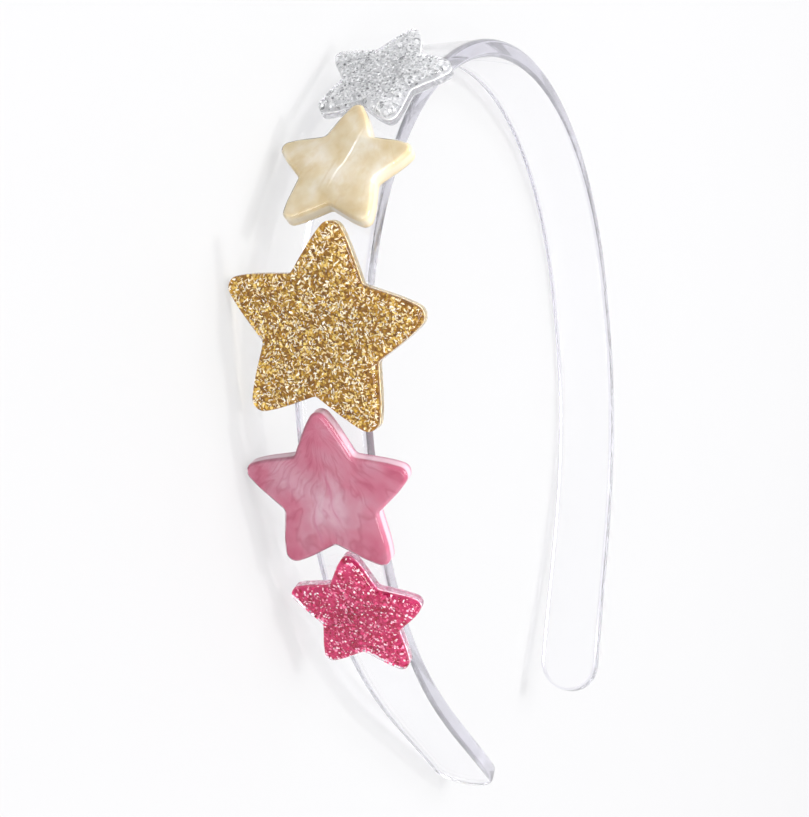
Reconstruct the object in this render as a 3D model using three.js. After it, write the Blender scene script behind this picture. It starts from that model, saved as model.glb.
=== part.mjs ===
// Star headband: a clear arch that springs over the head, with five resin stars glued down one leg.
// Millimetres, +Z up. The headband lies on its side on the surface z = 0, crown towards +Y,
// star leg towards -X, with the middle of its footprint at the origin.
import * as THREE from 'three'

// The arch, along the middle of its wall.
const archHalfWidth = 60 // from the middle to the widest point of a leg
const archHeight = 147 // from the crown down to the tips of the legs
const widestDrop = 60.5 // from the crown down to the widest point
const tipHalfGap = 19.5 // from the middle to a leg's tip
const tipLean = 35 // degrees that a leg's tip turns in towards the head
const crownFullness = 0.585 // how far the crown runs flat before it turns, as a share of the half width
const shoulderFullness = 0.563 // how far a leg runs straight above its widest point, of widestDrop
const legFullness = 0.5 // how far it runs straight below the widest point, of the drop left there
const tipFullness = 0.41 // how far it runs straight before its tip, of the same drop
const legTwist = 3.9 // how far each tip stands off the plane of the arch, the star leg's downwards

// The band that follows the arch.
const bandWidth = 13.2
const bandThickness = 3.4
const bandEdgeRadius = 1.1
const bandStep = 5 // length of one facet along the band
const edgeFacets = 4 // facets round each long edge
const endFacets = 9 // facets from the side of a leg to the very end of its round tip

// The stars, each a flat plate with round points and softened rims.
const smallStar = 12.5 // from the middle of a star to the end of a point
const mediumStar = 14.9
const largeStar = 17.9
const starPoints = 5
const starThickness = 3.2
const starRim = 0.6 // rounding of the rim at the front and the back
const starNotch = 0.6 // depth of the notches, as a share of the star's reach
const starWaist = 1.1 // radius in the notch between two points
const starPointRadius = 0.116 // radius at the end of a point, as a share of the star's reach
const pointTurn = 49 // degrees of the rounding on each side of a point
const notchTurn = 24 // degrees of the rounding on each side of a notch
const flankFullness = 0.333 // how far a flank runs straight at each end, as a share of its length
const pointFacets = 6 // facets round a point
const flankFacets = 3 // facets along a flank
const notchFacets = 4 // facets round a notch
const rimFacets = 2 // facets over the rim
const seatGap = 0.3 // the thin glue line between a star and the band
const nestSpace = 1 // the usual clear space between a star's point and the notch that it nests in
const firstStarDrop = 25.4 // along the band, from the crown to the middle of the first star
const settlingPasses = 8 // rounds of finding the corners that the part rests on

// From the crown down. nest is the clear space between a star's upper point and the notch above it,
// as a share of nestSpace; aside is the shift across the band as a share of its width; lean is a turn
// in degrees. A flat star meets the curved band along one line: seat is how far that line lies below
// the star's middle, as a share of its reach. tilt is how many degrees its upper side leans onto the
// band, so that it touches there and its glue fills the wedge on the other side.
const starTable = [
  { name: 'star_silver_glitter', reach: smallStar, nest: 0, aside: 0.01, lean: -11, seat: 0.6, tilt: 2 },
  { name: 'star_cream_pearl', reach: smallStar, nest: 1.1, aside: -0.04, lean: -1.7, seat: 0.05, tilt: 3.5 },
  { name: 'star_gold_glitter', reach: largeStar, nest: -0.1, aside: 0.11, lean: -10, seat: 0.8, tilt: 4 },
  { name: 'star_pink_pearl', reach: mediumStar, nest: 0.9, aside: 0.02, lean: -1.7, seat: 0.22, tilt: 6 },
  { name: 'star_hot_pink_glitter', reach: smallStar, nest: 1.9, aside: 0.06, lean: -3.5, seat: -0.45, tilt: 2.5 },
]

const starColours = {
  star_silver_glitter: 0xc8cdd0,
  star_cream_pearl: 0xebdab9,
  star_gold_glitter: 0xc8a050,
  star_pink_pearl: 0xcd7d9b,
  star_hot_pink_glitter: 0xd23c78,
}
const clearPlastic = new THREE.MeshStandardMaterial({ color: 0xe9e8f0, roughness: 0.08, metalness: 0 })
const radians = THREE.MathUtils.degToRad

// The right half of the arch, from the crown to the tip: two curves that share the widest point.
function halfArch() {
  const legDrop = archHeight - widestDrop
  const lean = radians(tipLean)
  const widest = new THREE.Vector3(archHalfWidth, -widestDrop, 0)
  const tip = new THREE.Vector3(tipHalfGap, -archHeight, 0)
  const half = new THREE.CurvePath()
  half.add(new THREE.CubicBezierCurve3(
    new THREE.Vector3(0, 0, 0),
    new THREE.Vector3(crownFullness * archHalfWidth, 0, 0),
    new THREE.Vector3(archHalfWidth, -(1 - shoulderFullness) * widestDrop, 0),
    widest,
  ))
  half.add(new THREE.CubicBezierCurve3(
    widest,
    new THREE.Vector3(archHalfWidth, -widestDrop - legFullness * legDrop, 0),
    new THREE.Vector3(Math.sin(lean), Math.cos(lean), 0).multiplyScalar(tipFullness * legDrop).add(tip),
    tip,
  ))
  return half
}

const arch = halfArch()
const legLength = arch.getLength()

// A place on the middle of the band. along is the distance from the crown, negative down the star
// leg; outward points away from the head, onward towards the right-hand tip, upward across the band.
function bandPlace(along) {
  const side = Math.sign(along) || 1
  const share = Math.min(Math.abs(along) / legLength, 1)
  const point = arch.getPointAt(share)
  const onward = arch.getTangentAt(share)
  point.x *= side
  point.z = side * legTwist * share ** 2
  onward.y *= side
  const upward = new THREE.Vector3(0, 0, 1)
  return { point, onward, upward, outward: new THREE.Vector3().crossVectors(upward, onward) }
}

// The band cut straight across: a rounded rectangle, thinner and narrower near a tip.
function bandRing(along) {
  const place = bandPlace(along)
  const fromEnd = legLength - Math.abs(along)
  const rounding = (radius) => radius - Math.sqrt(radius ** 2 - Math.max(radius - fromEnd, 0) ** 2)
  const halfWidth = bandWidth / 2 - rounding(bandWidth / 2)
  const halfThickness = bandThickness / 2 - rounding(bandEdgeRadius)
  const radius = Math.min(bandEdgeRadius, halfWidth, halfThickness)
  const ring = []
  const quarters = [[1, 1], [-1, 1], [-1, -1], [1, -1]]
  quarters.forEach(([acrossSide, outSide], quarter) => {
    for (let facet = 0; facet < edgeFacets; facet++) {
      const turn = (Math.PI / 2) * (quarter + facet / (edgeFacets - 1))
      const across = acrossSide * (halfWidth - radius) + radius * Math.cos(turn)
      const out = outSide * (halfThickness - radius) + radius * Math.sin(turn)
      const corner = place.point.clone().addScaledVector(place.upward, across)
      ring.push(corner.addScaledVector(place.outward, out))
    }
  })
  return ring
}

// A closed skin over a row of rings, with a flat cap on the first and the last.
function loft(rings) {
  const sides = rings[0].length
  const faces = []
  rings.slice(1).forEach((_, row) => {
    for (let side = 0; side < sides; side++) {
      const next = (side + 1) % sides
      const [near, far] = [row * sides, (row + 1) * sides]
      faces.push(near + side, far + next, near + next)
      faces.push(near + side, far + side, far + next)
    }
  })
  const lastRing = (rings.length - 1) * sides
  for (let side = 1; side < sides - 1; side++) {
    faces.push(0, side, side + 1)
    faces.push(lastRing, lastRing + side + 1, lastRing + side)
  }
  return new THREE.BufferGeometry().setFromPoints(rings.flat()).setIndex(faces)
}

// Distances along the band, close together where the tips turn round.
function bandStations() {
  const tipRadius = bandWidth / 2
  const straight = legLength - tipRadius
  const steps = Math.round(straight / bandStep)
  const leg = []
  for (let step = 1; step <= steps; step++) leg.push((straight * step) / steps)
  for (let facet = 1; facet < endFacets; facet++) {
    leg.push(straight + tipRadius * Math.sin((Math.PI / 2) * (facet / endFacets)))
  }
  return [...leg.map((along) => -along).reverse(), 0, ...leg]
}

function headband() {
  const mesh = new THREE.Mesh(loft(bandStations().map(bandRing)), clearPlastic)
  mesh.name = 'headband'
  return mesh
}

// One star's outline, a point towards +Y, made of round points, round notches and full flanks.
function starOutline(reach) {
  const polar = (length, angle) => new THREE.Vector2(length * Math.cos(angle), length * Math.sin(angle))
  const pointRadius = starPointRadius * reach
  const halfStep = Math.PI / starPoints
  const outline = []
  for (let point = 0; point < starPoints; point++) {
    const heading = Math.PI / 2 + 2 * halfStep * point
    const notchHeading = heading + halfStep
    const pointCentre = polar(reach - pointRadius, heading)
    const notchCentre = polar(starNotch * reach + starWaist, notchHeading)
    const arc = (centre, radius, from, to, facets) => {
      for (let facet = 0; facet <= facets; facet++) {
        outline.push(polar(radius, from + ((to - from) * facet) / facets).add(centre))
      }
    }
    const flank = (start, startNormal, end, endNormal) => {
      const handle = flankFullness * start.distanceTo(end)
      const curve = new THREE.CubicBezierCurve(
        start,
        polar(handle, startNormal + Math.PI / 2).add(start),
        polar(-handle, endNormal + Math.PI / 2).add(end),
        end,
      )
      outline.push(...curve.getPoints(flankFacets).slice(1, -1))
    }
    const pointEnd = heading + radians(pointTurn)
    const notchStart = notchHeading + radians(notchTurn)
    const notchEnd = notchHeading - radians(notchTurn)
    const nextPoint = heading + 2 * halfStep
    const nextStart = nextPoint - radians(pointTurn)
    arc(pointCentre, pointRadius, heading - radians(pointTurn), pointEnd, pointFacets)
    flank(outline.at(-1), pointEnd, polar(-starWaist, notchStart).add(notchCentre), notchStart)
    arc(notchCentre, -starWaist, notchStart, notchEnd, notchFacets)
    const nextCentre = polar(reach - pointRadius, nextPoint)
    flank(outline.at(-1), notchEnd, polar(pointRadius, nextStart).add(nextCentre), nextStart)
  }
  return new THREE.Shape(outline)
}

// A star lies on its back at the origin, its flat back on z = 0.
function star({ name, reach }) {
  const geometry = new THREE.ExtrudeGeometry(starOutline(reach), {
    depth: starThickness - 2 * starRim,
    bevelThickness: starRim,
    bevelSize: starRim,
    bevelOffset: -starRim,
    bevelSegments: rimFacets,
  })
  geometry.translate(0, 0, starRim)
  const resin = new THREE.MeshStandardMaterial({ color: starColours[name], roughness: 0.12, metalness: 0 })
  const mesh = new THREE.Mesh(geometry, resin)
  mesh.name = name
  return mesh
}

// Each star's distance down its leg, so that its upper point nests in the notch above it.
function starDrops() {
  let drop = firstStarDrop
  return starTable.map((row, index) => {
    if (index > 0) drop += starNotch * starTable[index - 1].reach + row.nest * nestSpace + row.reach
    return drop
  })
}

function seatedStar(row, drop) {
  const belowMiddle = row.seat * row.reach
  const seat = bandPlace(-drop - belowMiddle)
  const toEdge = bandWidth / 2 - bandEdgeRadius - row.aside * bandWidth
  const lift = Math.tan(radians(row.tilt)) * toEdge
  const mesh = star(row)
  const turned = new THREE.Matrix4().makeBasis(seat.upward, seat.onward, seat.outward)
  mesh.quaternion.setFromRotationMatrix(turned)
  mesh.rotateY(radians(row.tilt))
  mesh.rotateZ(radians(row.lean))
  mesh.position.copy(seat.point)
    .addScaledVector(seat.onward, belowMiddle)
    .addScaledVector(seat.outward, bandThickness / 2 + seatGap + lift)
    .addScaledVector(seat.upward, row.aside * bandWidth)
  return mesh
}

// The corners of a mesh in the frame of the group that holds it.
function cornersOf(mesh) {
  mesh.updateMatrix()
  const positions = mesh.geometry.getAttribute('position')
  const corners = []
  for (let index = 0; index < positions.count; index++) {
    corners.push(new THREE.Vector3().fromBufferAttribute(positions, index).applyMatrix4(mesh.matrix))
  }
  return corners
}

// The upward normal of the surface that touches the lowest corner of each of three groups.
function restingNormal(groups) {
  const floor = new THREE.Plane(new THREE.Vector3(0, 0, 1))
  for (let pass = 0; pass < settlingPasses; pass++) {
    const lower = (a, b) => (a.dot(floor.normal) < b.dot(floor.normal) ? a : b)
    floor.setFromCoplanarPoints(...groups.map((corners) => corners.reduce(lower)))
    if (floor.normal.z < 0) floor.negate()
  }
  return floor.normal
}

// Lays the assembled headband on z = 0 with its crown towards +Y and centres its footprint.
function layDown(assembly, normal) {
  const crownwards = new THREE.Vector3(0, 1, 0).projectOnPlane(normal).normalize()
  const sideways = new THREE.Vector3().crossVectors(crownwards, normal)
  const toRest = new THREE.Matrix4().makeBasis(sideways, crownwards, normal).transpose()
  assembly.quaternion.setFromRotationMatrix(toRest)
  const box = new THREE.Box3().setFromObject(assembly, true)
  const middle = box.getCenter(new THREE.Vector3())
  assembly.position.set(-middle.x, -middle.y, -box.min.z)
}

const band = headband()
const drops = starDrops()
const stars = starTable.map((row, index) => seatedStar(row, drops[index]))
const assembly = new THREE.Group()
assembly.add(band, ...stars)

// The part rests on a star's lower point, on the star leg's tip and on the other leg.
const bandCorners = cornersOf(band)
const restingGroups = [
  stars.flatMap(cornersOf),
  bandCorners.filter((corner) => corner.x < 0),
  bandCorners.filter((corner) => corner.x > 0),
]
layDown(assembly, restingNormal(restingGroups))

const model = new THREE.Group()
model.add(assembly)

export default model
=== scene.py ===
import math
import random

import bmesh
import bpy
from mathutils import Euler, Matrix, Vector
from mathutils.bvhtree import BVHTree


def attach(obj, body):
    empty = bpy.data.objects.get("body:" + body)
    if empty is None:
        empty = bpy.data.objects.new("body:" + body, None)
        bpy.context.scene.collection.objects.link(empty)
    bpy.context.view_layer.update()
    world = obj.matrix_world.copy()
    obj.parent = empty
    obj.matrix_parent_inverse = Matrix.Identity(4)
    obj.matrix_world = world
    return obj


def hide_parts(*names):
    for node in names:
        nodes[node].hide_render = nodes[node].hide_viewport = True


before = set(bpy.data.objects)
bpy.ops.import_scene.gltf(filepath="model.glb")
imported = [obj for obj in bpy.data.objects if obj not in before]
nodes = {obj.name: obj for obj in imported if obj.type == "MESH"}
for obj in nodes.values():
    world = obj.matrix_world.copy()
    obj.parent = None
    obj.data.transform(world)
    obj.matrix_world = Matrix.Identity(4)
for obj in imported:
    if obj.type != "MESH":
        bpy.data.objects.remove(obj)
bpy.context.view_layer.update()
scene = bpy.context.scene
print("headband frame loaded:", ", ".join(sorted(nodes)))

# metres, all closer together than any two real corners
slack = 1e-9
tiny = 1e-7
seam = 1e-6


# small helpers for meshes

def newPiece(name, bm, material, smoothAngle=40):
    mesh = bpy.data.meshes.new(name)
    bmesh.ops.remove_doubles(bm, verts=bm.verts, dist=tiny)
    bm.to_mesh(mesh)
    bm.free()
    piece = bpy.data.objects.new(name, mesh)
    scene.collection.objects.link(piece)
    mesh.materials.append(material)
    mesh.polygons.foreach_set("use_smooth", [True] * len(mesh.polygons))
    mesh.set_sharp_from_angle(angle=math.radians(smoothAngle))
    return piece


# small helpers for node materials

def newMaterial(name):
    material = bpy.data.materials.new(name)
    material.use_nodes = True
    tree = material.node_tree
    tree.nodes.clear()
    output = tree.nodes.new("ShaderNodeOutputMaterial")
    shader = tree.nodes.new("ShaderNodeBsdfPrincipled")
    tree.links.new(shader.outputs["BSDF"], output.inputs["Surface"])
    return material, tree, shader, output


def setSockets(node, values):
    for socket, value in values.items():
        node.inputs[socket].default_value = value


def addNode(tree, kind, values=None, **settings):
    node = tree.nodes.new(kind)
    for key, value in settings.items():
        setattr(node, key, value)
    setSockets(node, values or {})
    return node


def feed(tree, socket, value):
    # another node's output is linked, and a plain value is set
    if isinstance(value, bpy.types.NodeSocket):
        tree.links.new(value, socket)
    else:
        socket.default_value = value


def attributeOf(tree, name, output):
    return addNode(tree, "ShaderNodeAttribute", attribute_name=name).outputs[output]


def mathOf(tree, operation, *values, clamp=False):
    node = addNode(tree, "ShaderNodeMath", operation=operation, use_clamp=clamp)
    for socket, value in zip(node.inputs, values):
        feed(tree, socket, value)
    return node.outputs[0]


def partsOf(tree, vector):
    parts = addNode(tree, "ShaderNodeSeparateXYZ")
    tree.links.new(vector, parts.inputs["Vector"])
    return parts.outputs


def slopeOf(tree, value, low=0.0, high=1.0, start=0.0, end=1.0, smooth=False):
    # the result runs from start to end while the value runs from low to high
    slope = addNode(tree, "ShaderNodeMapRange", {"From Min": low, "From Max": high})
    if smooth:
        slope.interpolation_type = "SMOOTHSTEP"
    feed(tree, slope.inputs["Value"], value)
    feed(tree, slope.inputs["To Min"], start)
    feed(tree, slope.inputs["To Max"], end)
    return slope.outputs["Result"]


def mixOf(tree, share, first, second, blend="MIX"):
    mixed = addNode(tree, "ShaderNodeMixRGB", blend_type=blend)
    feed(tree, mixed.inputs["Fac"], share)
    feed(tree, mixed.inputs["Color1"], first)
    feed(tree, mixed.inputs["Color2"], second)
    return mixed.outputs["Color"]


def rampOf(tree, fac, stops):
    ramp = addNode(tree, "ShaderNodeValToRGB")
    elements = ramp.color_ramp.elements
    while len(elements) < len(stops):
        elements.new(0.5)
    for element, (place, colour) in zip(elements, stops):
        element.position = place
        element.color = (*colour, 1)
    tree.links.new(fac, ramp.inputs["Fac"])
    return ramp.outputs["Color"]


def grey(level):
    return (level, level, level)


def objectCoords(tree):
    return addNode(tree, "ShaderNodeTexCoord").outputs["Object"]


def noiseOf(tree, vector, scale, detail=2, roughness=0.5, output="Fac"):
    noiseNode = addNode(tree, "ShaderNodeTexNoise", {
        "Scale": scale, "Detail": detail, "Roughness": roughness})
    tree.links.new(vector, noiseNode.inputs["Vector"])
    return noiseNode.outputs[output]


def polishBody(tree, shader, look):
    # the roughness drifts between two values, as on a handled surface
    smooth, dull = look["polish"]
    smear = noiseOf(tree, objectCoords(tree), look["smear"], detail=3)
    drift = rampOf(tree, smear, [(0.35, grey(smooth)), (0.75, grey(dull))])
    tree.links.new(drift, shader.inputs["Roughness"])


def tintInside(tree, output, look):
    tint = addNode(tree, "ShaderNodeVolumeAbsorption", {
        "Color": (*look["absorb"], 1), "Density": look["density"]})
    tree.links.new(tint.outputs["Volume"], output.inputs["Volume"])


def clearBody(tree, shader, within, shade):
    # seen from inside, a clear wall lets some light straight out, so no ray stays caught in the body;
    # a clear piece throws only part of a solid piece's shade
    rays = addNode(tree, "ShaderNodeLightPath")
    wall = addNode(tree, "ShaderNodeNewGeometry")
    hold = slopeOf(tree, wall.outputs["Backfacing"], start=1.0, end=within)
    alpha = slopeOf(tree, rays.outputs["Is Shadow Ray"], start=hold, end=shade)
    tree.links.new(alpha, shader.inputs["Alpha"])


# the view, from the side of the stars, low over the table

view = {
    "place": (-0.24185, 0.08826, 0.1437),
    "turn": (-3.2, -59.556, -16.326),   # degrees
    "lens": 63.05,                      # millimetres on a 36 mm sensor
    "near": 0.01, "far": 20,
}


def placeCamera():
    cameraData = bpy.data.cameras.new("camera")
    cameraData.lens = view["lens"]
    cameraData.clip_start = view["near"]
    cameraData.clip_end = view["far"]
    camera = bpy.data.objects.new("camera", cameraData)
    camera.location = view["place"]
    camera.rotation_euler = Euler([math.radians(a) for a in view["turn"]])
    scene.collection.objects.link(camera)
    scene.camera = camera


placeCamera()
print("camera placed")


# table and studio light

table = {
    "reach": 3.0, "glow": 0.516, "roughness": 0.7, "shine": 0.2, "grain": 40,
    "stops": [(0.3, (0.22816, 0.22816, 0.227168)), (0.7, (0.23, 0.23, 0.229))],
}
studio = {
    "sky": [(0.0, (1.0, 1.0, 1.0)), (0.8, (0.76, 0.75, 0.82))],   # from the horizon up
    "lamps": {
        "softbox": {"place": (0.15, 0.25, 1.1), "size": 0.7, "power": 9.8},
        "keyLight": {"place": (0.21, 0.08, 1.07), "size": 0.05, "power": 3.8},
        "frontFill": {"place": (-1.1, -0.1, 0.42), "size": 0.8, "power": 6.1},
        "sparkLight": {"place": (-0.62, -0.1, 0.78), "size": 0.12, "power": 0.8},
    },
}


def makeTable():
    material, tree, shader, _ = newMaterial("table_white")
    setSockets(shader, {
        "Roughness": table["roughness"], "Specular IOR Level": table["shine"],
        "Emission Color": (1, 1, 1, 1), "Emission Strength": table["glow"]})
    grain = noiseOf(tree, objectCoords(tree), table["grain"], detail=3)
    tree.links.new(rampOf(tree, grain, table["stops"]), shader.inputs["Base Color"])
    bm = bmesh.new()
    bmesh.ops.create_grid(bm, x_segments=1, y_segments=1, size=table["reach"])
    floor = newPiece("table", bm, material)


def lightStudio():
    world = bpy.data.worlds.new("studio")
    scene.world = world
    world.use_nodes = True
    tree = world.node_tree
    upwards = partsOf(tree, addNode(tree, "ShaderNodeTexCoord").outputs["Generated"])["Z"]
    tree.links.new(rampOf(tree, upwards, studio["sky"]), tree.nodes["Background"].inputs["Color"])
    for name, look in studio["lamps"].items():
        lampData = bpy.data.lights.new(name, "AREA")
        lampData.size = look["size"]
        lampData.energy = look["power"]
        lamp = bpy.data.objects.new(name, lampData)
        lamp.location = look["place"]
        lamp.rotation_euler = (-Vector(look["place"])).to_track_quat("-Z", "Y").to_euler()
        scene.collection.objects.link(lamp)
    scene.view_settings.view_transform = "Standard"


makeTable()
lightStudio()
print("table and soft light ready")


# the arch that the band follows, in the same lengths and shares as the solids

arch = {
    "halfWidth": 0.060, "height": 0.147, "widestDrop": 0.0605, "tipHalfGap": 0.0195, "tipLean": 35,
    "crown": 0.585, "shoulder": 0.563, "leg": 0.5, "tip": 0.41, "twist": 0.0039, "steps": 400,
    "restPlace": (0.00310614, 0.07074934, 0.01133816), "restTurn": (1.1445, 4.2561, 0.085),
}


def bezierAt(points, t):
    a, b, c, d = points
    u = 1 - t
    return a * u ** 3 + b * 3 * u * u * t + c * 3 * u * t * t + d * t ** 3


def archPath():
    drop = arch["height"] - arch["widestDrop"]
    lean = math.radians(arch["tipLean"])
    widest = Vector((arch["halfWidth"], -arch["widestDrop"]))
    end = Vector((arch["tipHalfGap"], -arch["height"]))
    upper = (Vector((0, 0)), Vector((arch["crown"] * arch["halfWidth"], 0)),
             Vector((arch["halfWidth"], -(1 - arch["shoulder"]) * arch["widestDrop"])), widest)
    lower = (widest, widest - Vector((0, arch["leg"] * drop)),
             end + Vector((math.sin(lean), math.cos(lean))) * arch["tip"] * drop, end)
    steps = arch["steps"]
    points = [bezierAt(upper, i / steps) for i in range(steps)]
    points += [bezierAt(lower, i / steps) for i in range(steps + 1)]
    lengths = [0.0]
    for near, far in zip(points, points[1:]):
        lengths.append(lengths[-1] + (far - near).length)
    return points, lengths


pathPoints, pathLengths = archPath()
legLength = pathLengths[-1]
restMatrix = Matrix.Translation(arch["restPlace"]) @ Euler(
    [math.radians(a) for a in arch["restTurn"]]).to_matrix().to_4x4()


def archPlace(along):
    # the middle of the band's wall, at a length along the arch from its crown, and the way outward
    side = -1 if along < 0 else 1
    reach = min(abs(along), legLength)
    low, high = 0, len(pathLengths) - 1
    while high - low > 1:
        mid = (low + high) // 2
        if pathLengths[mid] <= reach:
            low = mid
        else:
            high = mid
    share = (reach - pathLengths[low]) / (pathLengths[high] - pathLengths[low])
    flat = pathPoints[low].lerp(pathPoints[high], share)
    before, after = pathPoints[max(low - 1, 0)], pathPoints[min(high + 1, len(pathPoints) - 1)]
    slopeLow = (pathPoints[high] - before).normalized()
    slopeHigh = (after - pathPoints[low]).normalized()
    slope = slopeLow.lerp(slopeHigh, share).normalized()
    if reach < seam:
        slope = Vector((1, 0))
    point = Vector((side * flat.x, flat.y, side * arch["twist"] * (reach / legLength) ** 2))
    onward = Vector((slope.x, side * slope.y, 0))
    return point, Vector((0, 0, 1)).cross(onward)


# the clear band: a flat bar with round ends and soft edges, bent along the arch

band = {
    "halfWidth": 0.0066, "halfThickness": 0.0017, "edgeRadius": 0.0008, "hold": 0.0002,
    "edgeSteps": 8, "columns": 560, "endColumns": 12, "rows": 4,
}
straight = legLength - band["halfWidth"]


def stadium(u, v, inset):
    # a place on the flat bar: u along from -1 to 1 by columns, v across from -1 to 1
    halfWidth = band["halfWidth"] - inset
    count, ends = band["columns"], band["endColumns"]
    column = round(u * (count / 2 + ends))
    if abs(column) <= count / 2:
        return straight * column / (count / 2), v * halfWidth
    turn = (math.pi / 2) * (abs(column) - count / 2) / ends
    x = math.copysign(straight + halfWidth * math.sin(turn), column)
    return x, v * halfWidth * math.cos(turn)


def edgeProfile():
    # how far out and down each ring of the rounded edge lies from the rim of the flat face
    radius, hold = band["edgeRadius"], band["hold"]
    rings = [(hold, 0.0)]
    for step in range(1, band["edgeSteps"] + 1):
        turn = (math.pi / 2) * step / band["edgeSteps"]
        rings.append((hold + radius * math.sin(turn), radius * (1 - math.cos(turn))))
    rings.append((hold + radius, band["halfThickness"]))
    return rings


def flatBar():
    bm = bmesh.new()
    columns = band["columns"] + 2 * band["endColumns"]
    bmesh.ops.create_grid(bm, x_segments=columns, y_segments=band["rows"], size=1)
    for vert in bm.verts:
        x, y = stadium(vert.co.x, vert.co.y, band["edgeRadius"] + band["hold"])
        vert.co = Vector((x, y, band["halfThickness"]))
    bmesh.ops.remove_doubles(bm, verts=bm.verts, dist=seam)
    rim = [edge for edge in bm.edges if edge.is_boundary]
    lastOut, lastDown = 0.0, 0.0
    for out, down in edgeProfile():
        grown = bmesh.ops.extrude_edge_only(bm, edges=rim)["geom"]
        rim = [g for g in grown if isinstance(g, bmesh.types.BMEdge)]
        for vert in {v for edge in rim for v in edge.verts}:
            centre = Vector((max(-straight, min(straight, vert.co.x)), 0, 0))
            away = Vector((vert.co.x, vert.co.y, 0)) - centre
            if abs(vert.co.x) <= straight + slack:
                away = Vector((0, vert.co.y, 0))
            vert.co += away.normalized() * (out - lastOut)
            vert.co.z -= down - lastDown
        lastOut, lastDown = out, down
    for vert in {v for edge in rim for v in edge.verts}:
        vert.co.z = 0
    bmesh.ops.mirror(bm, geom=bm.verts[:] + bm.edges[:] + bm.faces[:], axis="Z", merge_dist=tiny)
    bmesh.ops.remove_doubles(bm, verts=bm.verts, dist=tiny)
    bmesh.ops.recalc_face_normals(bm, faces=bm.faces)
    return bm


def makeBand(material):
    bm = flatBar()
    edgeShare = bm.verts.layers.float.new("edgeShare")   # 0 on the flats, 1 on the walls
    for vert in bm.verts:
        vert[edgeShare] = min(1, (band["halfThickness"] - abs(vert.co.z)) / band["edgeRadius"])
        point, outward = archPlace(vert.co.x)
        vert.co = restMatrix @ (point - Vector((0, 0, vert.co.y)) + outward * vert.co.z)
    piece = newPiece("clear_band", bm, material, smoothAngle=60)
    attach(piece, "root")
    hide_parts("headband")


# flats are clear; the rounded edges and walls are tinted a little lavender-grey as painted shade, standing in
# for the dark lines that refraction draws along the edges, and they throw most of the shade
plastic = {
    "tint": [(0.0, (0.995, 0.995, 1.0)), (0.15, (0.78, 0.77, 0.83)), (1.0, (0.83, 0.82, 0.875))],
    "shade": [(0.0, grey(0.12)), (0.1, grey(0.9)), (0.8, grey(0.9)), (1.0, grey(0.7))],
    "shine": [(0.0, (1.0, 1.0, 1.0)), (0.15, (0.62, 0.61, 0.67)), (1.0, (0.70, 0.69, 0.75))],
    "within": 0.90, "smear": 90, "polish": (0.03, 0.07), "absorb": (0.72, 0.72, 0.85), "density": 12.0,
}


def clearPlastic():
    material, tree, shader, output = newMaterial("clear_plastic")
    setSockets(shader, {"IOR": 1.49, "Transmission Weight": 1.0})
    edge = attributeOf(tree, "edgeShare", "Fac")
    # painted shade: the base colour turns lavender-grey on the edges and walls
    tree.links.new(rampOf(tree, edge, plastic["tint"]), shader.inputs["Base Color"])
    tree.links.new(rampOf(tree, edge, plastic["shine"]), shader.inputs["Specular Tint"])
    clearBody(tree, shader, plastic["within"], rampOf(tree, edge, plastic["shade"]))
    polishBody(tree, shader, plastic)
    tintInside(tree, output, plastic)
    return material


makeBand(clearPlastic())
print("clear band bent along the arch")


# star bodies: a merged copy of each solid star, its flat sides held and its rims rounded

starShape = {
    "hold": 0.00015, "rim": 0.0006, "thickness": 0.0032, "roundness": 2,
    "insideArch": (0, 0, 0.013),   # every star's front looks away from here
    "crownwards": 0.2,             # of a star's five points, up is the one towards the crown
}
resin = {"within": 0.88, "shade": 0.12, "flatShine": 0.25, "smear": 160, "polish": (0.01, 0.05)}


def mergedStar(node):
    bm = bmesh.new()
    bm.from_mesh(nodes[node].data)
    bmesh.ops.remove_doubles(bm, verts=bm.verts, dist=seam)
    bmesh.ops.dissolve_limit(bm, angle_limit=math.radians(1), verts=bm.verts, edges=bm.edges)
    flats = sorted(bm.faces, key=lambda face: face.calc_area())[-2:]
    inside = Vector(starShape["insideArch"])
    front = max(flats, key=lambda face: face.normal.dot(face.calc_center_median() - inside))
    middle = front.calc_center_median_weighted()
    pull = starShape["crownwards"]
    crown = max(front.verts, key=lambda vert: (vert.co - middle).length + pull * vert.co.y).co
    up = (crown - middle).normalized()
    facing = {"normal": front.normal.copy(), "middle": middle, "up": up,
              "side": up.cross(front.normal).normalized(), "reach": (crown - middle).length}
    return bm, flats, facing


def starBody(node, material):
    bm, flats, facing = mergedStar(node)
    bmesh.ops.inset_region(bm, faces=flats, thickness=starShape["hold"], use_even_offset=True)
    onFlats = {vert for face in flats for vert in face.verts}
    rimShare = bm.verts.layers.float.new("rimShare")   # 0 on the flats, 1 on rims and walls
    for vert in bm.verts:
        vert[rimShare] = 0.0 if vert in onFlats else 1.0
    heldDepth = starShape["rim"] + starShape["hold"]
    for depth in (heldDepth, starShape["thickness"] - heldDepth):
        bmesh.ops.bisect_plane(bm, geom=bm.verts[:] + bm.edges[:] + bm.faces[:], dist=tiny,
                               plane_co=facing["middle"] - facing["normal"] * depth,
                               plane_no=facing["normal"])
    body = newPiece(node.replace("star", "resin"), bm, material, smoothAngle=180)
    rounding = body.modifiers.new("rounded", "SUBSURF")
    rounding.levels = rounding.render_levels = starShape["roundness"]
    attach(body, "root")
    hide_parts(node)
    return body, facing


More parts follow.
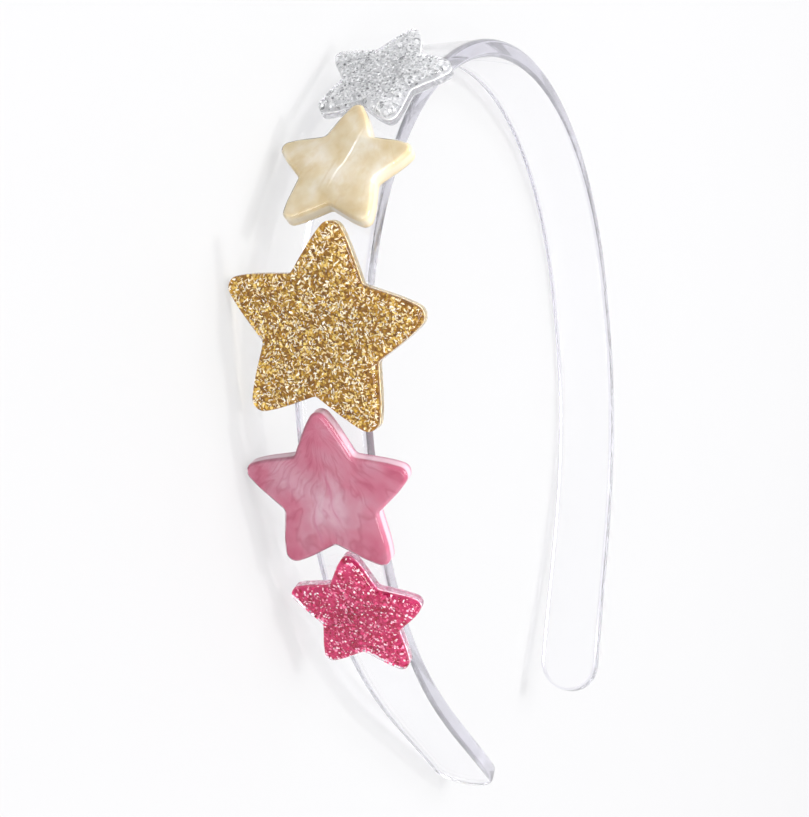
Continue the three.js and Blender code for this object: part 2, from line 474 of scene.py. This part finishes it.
def starCore(node, name, look, material):
    # the coloured layer inside the resin: the star drawn in a little and pressed to a thinner plate
    bm, _, facing = mergedStar(node)
    bm.normal_update()
    thinner = (look["far"] - look["near"]) / (starShape["thickness"] - 2 * look["margin"])
    moved = {vert: vert.co - vert.normal * look["margin"] for vert in bm.verts}
    for vert, place in moved.items():
        depth = (facing["middle"] - place).dot(facing["normal"])
        wanted = look["near"] + (depth - look["margin"]) * thinner
        vert.co = place + facing["normal"] * (depth - wanted)
    spot = bm.verts.layers.float_vector.new("starPlace")   # side, up and outward, as shares of the reach
    for vert in bm.verts:
        away = vert.co - facing["middle"]
        vert[spot] = Vector([away.dot(facing[axis]) for axis in ("side", "up", "normal")]) / facing["reach"]
    core = newPiece(name, bm, material, smoothAngle=40)
    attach(core, "root")


def resinMaterial(name, look):
    material, tree, shader, output = newMaterial(name)
    setSockets(shader, {"Base Color": (*look["clear"], 1), "IOR": 1.5, "Transmission Weight": 1.0})
    clearBody(tree, shader, resin["within"], resin["shade"])
    shine = slopeOf(tree, attributeOf(tree, "rimShare", "Fac"), start=resin["flatShine"])
    tree.links.new(shine, shader.inputs["Specular Tint"])
    polishBody(tree, shader, resin)
    tintInside(tree, output, look)
    return material


# glitter: thin flakes set at random in a layer behind the front of a star, over a bed of coloured grain

glitter = {"thin": 0.1, "sides": (4, 5, 6), "margin": 0.0003, "thinning": 0.0, "batch": 200}


# each flake takes a random colour from its stops; besides some spread of the flakes' own tone, the pale end
# is painted sparkle and the dark end painted shade
def flakeMaterial(name, look):
    material, tree, shader, _ = newMaterial(name)
    setSockets(shader, {"Metallic": look["metal"], "Roughness": look["roughness"], "Specular IOR Level": 0.0})
    flake = addNode(tree, "ShaderNodeNewGeometry").outputs["Random Per Island"]
    tree.links.new(rampOf(tree, flake, look["stops"]), shader.inputs["Base Color"])
    return material


bedFinish = {
    "roughness": 0.6, "grainDetail": 4, "grainRoughness": 0.7,
    "edge": (0.002, 0.008),   # where the flecks begin behind the front, in shares of the reach
}


def bedMaterial(name, look, facing):
    # coloured grain on the front; the back and most of the side hold paler flecks, seen through clear walls
    material, tree, shader, _ = newMaterial(name)
    setSockets(shader, {"Roughness": bedFinish["roughness"], "Specular IOR Level": 0.0})
    grain = noiseOf(tree, objectCoords(tree), look["grain"], detail=bedFinish["grainDetail"],
                    roughness=bedFinish["grainRoughness"])
    cells = addNode(tree, "ShaderNodeTexVoronoi", {"Scale": look["flecks"]})
    tree.links.new(objectCoords(tree), cells.inputs["Vector"])
    fleck = partsOf(tree, cells.outputs["Color"])["X"]
    front = -look["near"] / facing["reach"]
    depth = partsOf(tree, attributeOf(tree, "starPlace", "Vector"))["Z"]
    behind = slopeOf(tree, depth, front - bedFinish["edge"][0], front - bedFinish["edge"][1])
    colour = mixOf(tree, behind, rampOf(tree, grain, look["stops"]), rampOf(tree, fleck, look["back"]))
    tree.links.new(colour, shader.inputs["Base Color"])
    return material


def flakePlaces(body, facing, look):
    # one matrix and one number of sides for each flake
    rng = random.Random(look["seed"])
    bodyMesh = bmesh.new()
    bodyMesh.from_mesh(body.data)
    tree = BVHTree.FromBMesh(bodyMesh)
    corners = [v.co for v in bodyMesh.verts]
    low = Vector([min(c[i] for c in corners) for i in range(3)])
    high = Vector([max(c[i] for c in corners) for i in range(3)])
    bodyMesh.free()
    made = 0
    while made < look["count"]:
        place = Vector([rng.uniform(low[i], high[i]) for i in range(3)])
        depth = (facing["middle"] - place).dot(facing["normal"])
        if not look["depth"][0] < depth < look["depth"][1]:
            continue
        nearest, outward, _, _ = tree.find_nearest(place)
        if (nearest - place).dot(outward) < look["margin"]:
            continue
        if rng.random() > 1 - look["thinning"] * (place - facing["middle"]).length / facing["reach"]:
            continue
        made += 1
        size = rng.uniform(*look["size"])
        tilted = facing["normal"] + look["tilt"] * Vector([rng.gauss(0, 1) for _ in range(3)])
        turn = tilted.to_track_quat("Z", "Y") @ Euler((0, 0, rng.uniform(0, math.tau))).to_quaternion()
        stretch = rng.uniform(*look["slim"])
        yield Matrix.LocRotScale(place, turn, Vector((size, size * stretch, size))), rng.choice(look["sides"])


def scatterFlakes(name, body, facing, look, material):
    bm = bmesh.new()
    whole = bmesh.new()
    flakes = bpy.data.meshes.new(name)
    for made, (place, sides) in enumerate(flakePlaces(body, facing, look), start=1):
        bmesh.ops.create_cone(bm, cap_ends=True, segments=sides, radius1=1, radius2=1,
                              depth=look["thin"], matrix=place)
        if made % look["batch"] == 0 or made == look["count"]:   # small batches build fastest
            bm.to_mesh(flakes)
            whole.from_mesh(flakes)
            bm.clear()
    bm.free()
    whole.to_mesh(flakes)
    whole.free()
    flakes.materials.append(material)
    piece = bpy.data.objects.new(name, flakes)
    scene.collection.objects.link(piece)
    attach(piece, "root")
    print(name, "set:", look["count"], "flakes")


def glitterStar(finish, clear, bed, flakes, glints):
    node = "star_" + finish + "_glitter"
    body, facing = starBody(node, resinMaterial(finish + "_resin", clear))
    starCore(node, finish + "_bed", bed, bedMaterial(finish + "_bed", bed, facing))
    scatterFlakes(finish + "_flakes", body, facing, flakes, flakeMaterial(finish + "_flake", flakes))
    # the glints are pale flakes whose near-white colour is painted sparkle, on top of a little real metallic
    # shine
    scatterFlakes(finish + "_glints", body, facing, glints, flakeMaterial(finish + "_glint", glints))


# large star with gold glitter

goldResin = {"clear": (1, 0.99, 0.97), "absorb": (0.95, 0.80, 0.50), "density": 40}
goldBed = {
    "margin": 0.0003, "near": 0.0013, "far": 0.0017, "grain": 900, "flecks": 2600,
    "stops": [(0.3, (0.23, 0.09, 0.001)), (0.55, (0.38, 0.18, 0.007)), (0.75, (0.60, 0.36, 0.04))],
    "back": [(0.0, (0.52, 0.32, 0.06)), (0.35, (0.84, 0.68, 0.34)), (0.8, (0.96, 0.90, 0.72))],
}
goldFlakes = dict(
    glitter, slot="gold_glitter_resin",
    seed=11, count=4600, size=(0.0002, 0.00034), slim=(0.5, 1), depth=(0.00035, 0.0013),
    tilt=0.2, metal=0.2, roughness=0.35,
    stops=[(0.0, (0.18, 0.065, 0.001)), (0.35, (0.38, 0.18, 0.006)), (0.7, (0.62, 0.38, 0.04)),
           (1.0, (0.88, 0.68, 0.21))])
goldGlints = dict(
    glitter, slot="gold_glitter_resin",
    seed=12, count=2500, size=(0.0002, 0.00042), slim=(0.2, 0.45), depth=(0.00025, 0.0007),
    tilt=0.35, metal=0.3, roughness=0.3,
    stops=[(0.0, (0.88, 0.68, 0.27)), (0.3, (1.0, 0.88, 0.58)), (1.0, (1.0, 0.98, 0.88))])
glitterStar("gold", goldResin, goldBed, goldFlakes, goldGlints)


# small star with silver glitter, by the crown

silverResin = {"clear": (0.99, 0.99, 1), "absorb": (0.86, 0.87, 0.88), "density": 30}
silverBed = {
    "margin": 0.0004, "near": 0.0015, "far": 0.0018, "grain": 900, "flecks": 2600,
    "stops": [(0.3, (0.60, 0.605, 0.61)), (0.5, (0.76, 0.765, 0.77)), (0.75, (0.92, 0.925, 0.93))],
    "back": [(0.0, (0.62, 0.62, 0.63)), (0.35, (0.90, 0.90, 0.91)), (0.8, (1.0, 1.0, 1.0))],
}
silverFlakes = dict(
    glitter, slot="silver_glitter_resin",
    seed=23, count=1300, size=(0.00018, 0.00036), slim=(0.4, 1), depth=(0.00035, 0.0014),
    tilt=0.25, metal=0.2, roughness=0.3,
    stops=[(0.0, (0.20, 0.205, 0.21)), (0.25, (0.50, 0.505, 0.51)), (0.6, (0.84, 0.845, 0.85)),
           (1.0, (1.0, 1.0, 1.0))])
silverGlints = dict(
    glitter, slot="silver_glitter_resin",
    seed=24, count=1300, size=(0.00016, 0.0003), slim=(0.3, 0.9), depth=(0.0002, 0.0007),
    tilt=0.45, metal=0.35, roughness=0.35,
    stops=[(0.0, (0.96, 0.97, 0.97)), (0.3, (1.0, 1.0, 1.0))])
glitterStar("silver", silverResin, silverBed, silverFlakes, silverGlints)


# small star with hot pink glitter, lowest on the leg, with fewer flakes towards its points

hotPinkResin = {"clear": (1, 0.98, 0.99), "absorb": (0.95, 0.50, 0.66), "density": 35}
hotPinkBed = {
    "margin": 0.0003, "near": 0.0014, "far": 0.0018, "grain": 500, "flecks": 2200,
    "stops": [(0.3, (0.42, 0.006, 0.065)), (0.55, (0.59, 0.03, 0.15)), (0.8, (0.76, 0.16, 0.31))],
    "back": [(0.0, (0.66, 0.10, 0.26)), (0.35, (0.90, 0.48, 0.62)), (0.8, (0.97, 0.80, 0.87))],
}
hotPinkFlakes = dict(
    glitter, slot="hot_pink_glitter_resin",
    seed=37, count=1200, size=(0.0002, 0.0004), slim=(0.5, 1), depth=(0.00035, 0.0014),
    tilt=0.25, thinning=0.65, metal=0.1, roughness=0.35,
    stops=[(0.0, (0.30, 0.001, 0.025)), (0.35, (0.48, 0.004, 0.075)), (0.75, (0.74, 0.05, 0.20)),
           (1.0, (0.90, 0.30, 0.47))])
hotPinkGlints = dict(
    glitter, slot="hot_pink_glitter_resin",
    seed=38, count=480, size=(0.00014, 0.00028), slim=(0.3, 1), depth=(0.00025, 0.0012),
    tilt=0.25, thinning=0.3, metal=0.2, roughness=0.3,
    stops=[(0.0, (0.98, 0.42, 0.62)), (0.4, (1.0, 0.68, 0.80)), (1.0, (1.0, 0.95, 0.97))])
glitterStar("hot_pink", hotPinkResin, hotPinkBed, hotPinkFlakes, hotPinkGlints)
print("glitter stars ready")


# pearl stars: soft streaks of pearl in translucent resin

pearlFinish = {
    "glowDepth": 0.0015, "roughness": 0.5, "stripeGrain": 11, "stripeDetail": 4,
    "frontEdge": 0.03, "backEdge": (0.006, 0.002), "wallUntil": 0.65,
}


def addStripe(tree, place, colour, stripe):
    # a paler or darker stripe across the face, on the line side = offset + slope * up, broken up by noise;
    # the paler ones are painted sheen, the darker ones streaks of the pearl's own pattern
    parts = partsOf(tree, place)
    onLine = mathOf(tree, "MULTIPLY_ADD", parts["Y"], -stripe["slope"], parts["X"])
    middle, low, high = stripe["offset"], stripe["foot"], stripe["head"]
    ends = (high - low) / 3
    share = noiseOf(tree, place, pearlFinish["stripeGrain"], detail=pearlFinish["stripeDetail"])
    for source, start, end in ((onLine, middle - stripe["left"], middle),
                               (onLine, middle + stripe["right"], middle),
                               (parts["Y"], low, low + ends),
                               (parts["Y"], high, high - ends)):
        share = mathOf(tree, "MULTIPLY", share, slopeOf(tree, source, start, end, smooth=True))
    strength = mathOf(tree, "MULTIPLY", share, 2 * stripe["strength"], clamp=True)
    return mixOf(tree, strength, colour, (*stripe["colour"], 1))


def fanStreaks(tree, place, look):
    # streaks by the angle and the distance from one point near the star's top
    parts = partsOf(tree, place)
    beside = mathOf(tree, "SUBTRACT", parts["X"], look["fanTop"][0])
    below = mathOf(tree, "SUBTRACT", look["fanTop"][1], parts["Y"])
    angle = mathOf(tree, "ARCTAN2", beside, below)
    spread = addNode(tree, "ShaderNodeCombineXYZ")
    tree.links.new(mathOf(tree, "MULTIPLY", angle, look["fanCount"]), spread.inputs["X"])
    tree.links.new(below, spread.inputs["Y"])
    streaks = noiseOf(tree, spread.outputs["Vector"], 1, detail=look["fine"], roughness=0.6)
    return rampOf(tree, streaks, look["streaks"])


def pearlPatches(tree, place, look):
    # patches of colour that run from the middle to the tips
    patches = noiseOf(tree, place, look["patch"], detail=3)
    fromMiddle = addNode(tree, "ShaderNodeVectorMath", operation="LENGTH")
    tree.links.new(place, fromMiddle.inputs[0])
    outwards = mathOf(tree, "MULTIPLY_ADD", fromMiddle.outputs["Value"], -look["tipShare"], patches)
    return rampOf(tree, outwards, look["patches"])


def wallsOver(tree, place, colour, look):
    # the walls have plainer colours than the front and the back, and darken towards the back as painted shade
    depth = partsOf(tree, place)["Z"]
    start, end = -look["wallStart"], -look["wallEnd"]
    backFrom, backTo = pearlFinish["backEdge"]
    behindFront = slopeOf(tree, depth, start, start - pearlFinish["frontEdge"])
    beforeBack = slopeOf(tree, depth, end + backFrom, end + backTo, start=1.0, end=0.0)
    onWall = mathOf(tree, "MULTIPLY", behindFront, beforeBack)
    # painted shade: towards the back the wall colour runs into a darker one
    wallStops = [(pearlFinish["wallUntil"], look["wall"]), (1.0, look["wallBackShade"])]
    return mixOf(tree, onWall, colour, rampOf(tree, slopeOf(tree, depth, start, end), wallStops))


def pearlMaterial(name, look):
    material, tree, shader, _ = newMaterial(name)
    setSockets(shader, {
        "Subsurface Weight": look["glow"], "Subsurface Radius": look["glowReach"],
        "Subsurface Scale": pearlFinish["glowDepth"], "Roughness": pearlFinish["roughness"],
        "Specular IOR Level": 0.0})
    place = attributeOf(tree, "starPlace", "Vector")
    warp = noiseOf(tree, place, look["warp"], output="Color")
    bent = mixOf(tree, look["bend"], place, warp, blend="LINEAR_LIGHT")
    patchColour = pearlPatches(tree, bent, look)
    colour = mixOf(tree, look["streakShare"], patchColour, fanStreaks(tree, bent, look), blend="MULTIPLY")
    for stripe in look["stripes"]:
        colour = addStripe(tree, bent, colour, stripe)
    tree.links.new(wallsOver(tree, place, colour, look), shader.inputs["Base Color"])
    return material


pearlCore = {"margin": 0.0004, "near": 0.0003, "far": 0.0029}


def pearlStar(finish, clear, look):
    node = "star_" + finish + "_pearl"
    starBody(node, resinMaterial(finish + "_resin", clear))
    starCore(node, finish + "_core", pearlCore, pearlMaterial(finish + "_pearl", look))


# star of pink pearl, second largest

pinkResin = {"clear": (1, 0.985, 0.99), "absorb": (0.92, 0.55, 0.68), "density": 35}
pinkPearl = {
    "glow": 0.2, "glowReach": (1.0, 0.5, 0.6), "warp": 1.6, "bend": 0.16, "fine": 3,
    "fanTop": (-0.02, 0.85), "fanCount": 2.6, "patch": 1.7, "tipShare": 0.3, "streakShare": 0.9,
    "wallStart": 0.06, "wallEnd": 0.195, "wall": (0.69, 0.50, 0.565), "wallBackShade": (0.50, 0.22, 0.31),
    "streaks": [(0.34, (1.0, 0.97, 0.98)), (0.44, (0.97, 0.88, 0.92)), (0.465, (0.84, 0.62, 0.70)),
                (0.50, (1.0, 0.97, 0.98)), (0.565, (0.97, 0.88, 0.92)), (0.585, (0.86, 0.66, 0.74)),
                (0.62, (1.0, 1.0, 1.0))],
    "patches": [(0.14, (0.40, 0.085, 0.15)), (0.28, (0.455, 0.155, 0.22)),
                (0.42, (0.465, 0.23, 0.285)), (0.56, (0.52, 0.33, 0.385))],
    # the first two stripes are paler, painted sheen; the last two are darker streaks of the pearl
    "stripes": [
        {"offset": -0.06, "slope": 0.02, "left": 0.16, "right": 0.04, "foot": -0.55, "head": 0.45,
         "strength": 0.5, "colour": (0.53, 0.38, 0.43)},
        {"offset": 0.10, "slope": -0.30, "left": 0.05, "right": 0.12, "foot": -0.45, "head": 0.45,
         "strength": 0.5, "colour": (0.53, 0.38, 0.43)},
        {"offset": 0.05, "slope": -0.32, "left": 0.03, "right": 0.02, "foot": -0.50, "head": 0.50,
         "strength": 0.5, "colour": (0.42, 0.14, 0.22)},
        {"offset": -0.17, "slope": 0.03, "left": 0.02, "right": 0.03, "foot": -0.70, "head": 0.00,
         "strength": 0.5, "colour": (0.42, 0.14, 0.22)},
    ],
}
pearlStar("pink", pinkResin, pinkPearl)


# small star of cream pearl, second from the crown

creamResin = {"clear": (1, 0.995, 0.98), "absorb": (0.97, 0.82, 0.50), "density": 40}
creamPearl = {
    "glow": 0.3, "glowReach": (1.0, 0.8, 0.5), "warp": 1.6, "bend": 0.08, "fine": 4,
    "fanTop": (0.3, 1.1), "fanCount": 2.6, "patch": 2.3, "tipShare": 0.1, "streakShare": 0.6,
    "wallStart": 0.08, "wallEnd": 0.232, "wall": (0.62, 0.565, 0.455), "wallBackShade": (0.60, 0.49, 0.31),
    "streaks": [(0.36, (1.0, 1.0, 1.0)), (0.46, (1.0, 0.97, 0.91)), (0.49, (0.95, 0.88, 0.76)),
                (0.53, (1.0, 0.99, 0.97)), (0.66, (1.0, 0.95, 0.86))],
    "patches": [(0.30, (0.57, 0.475, 0.30)), (0.45, (0.635, 0.565, 0.42)), (0.60, (0.70, 0.665, 0.59))],
    # the first two stripes are paler, painted sheen, the second near-white; the third is a darker streak of
    # the pearl
    "stripes": [
        {"offset": 0.10, "slope": 0.28, "left": 0.08, "right": 0.32, "foot": -0.30, "head": 0.85,
         "strength": 0.7, "colour": (0.72, 0.69, 0.61)},
        {"offset": 0.035, "slope": 0.28, "left": 0.025, "right": 0.035, "foot": -0.42, "head": 0.68,
         "strength": 0.95, "colour": (0.97, 0.96, 0.93)},
        {"offset": -0.10, "slope": 0.20, "left": 0.05, "right": 0.03, "foot": -0.50, "head": 0.35,
         "strength": 0.5, "colour": (0.56, 0.46, 0.29)},
    ],
}
pearlStar("cream", creamResin, creamPearl)
print("pearl stars ready")
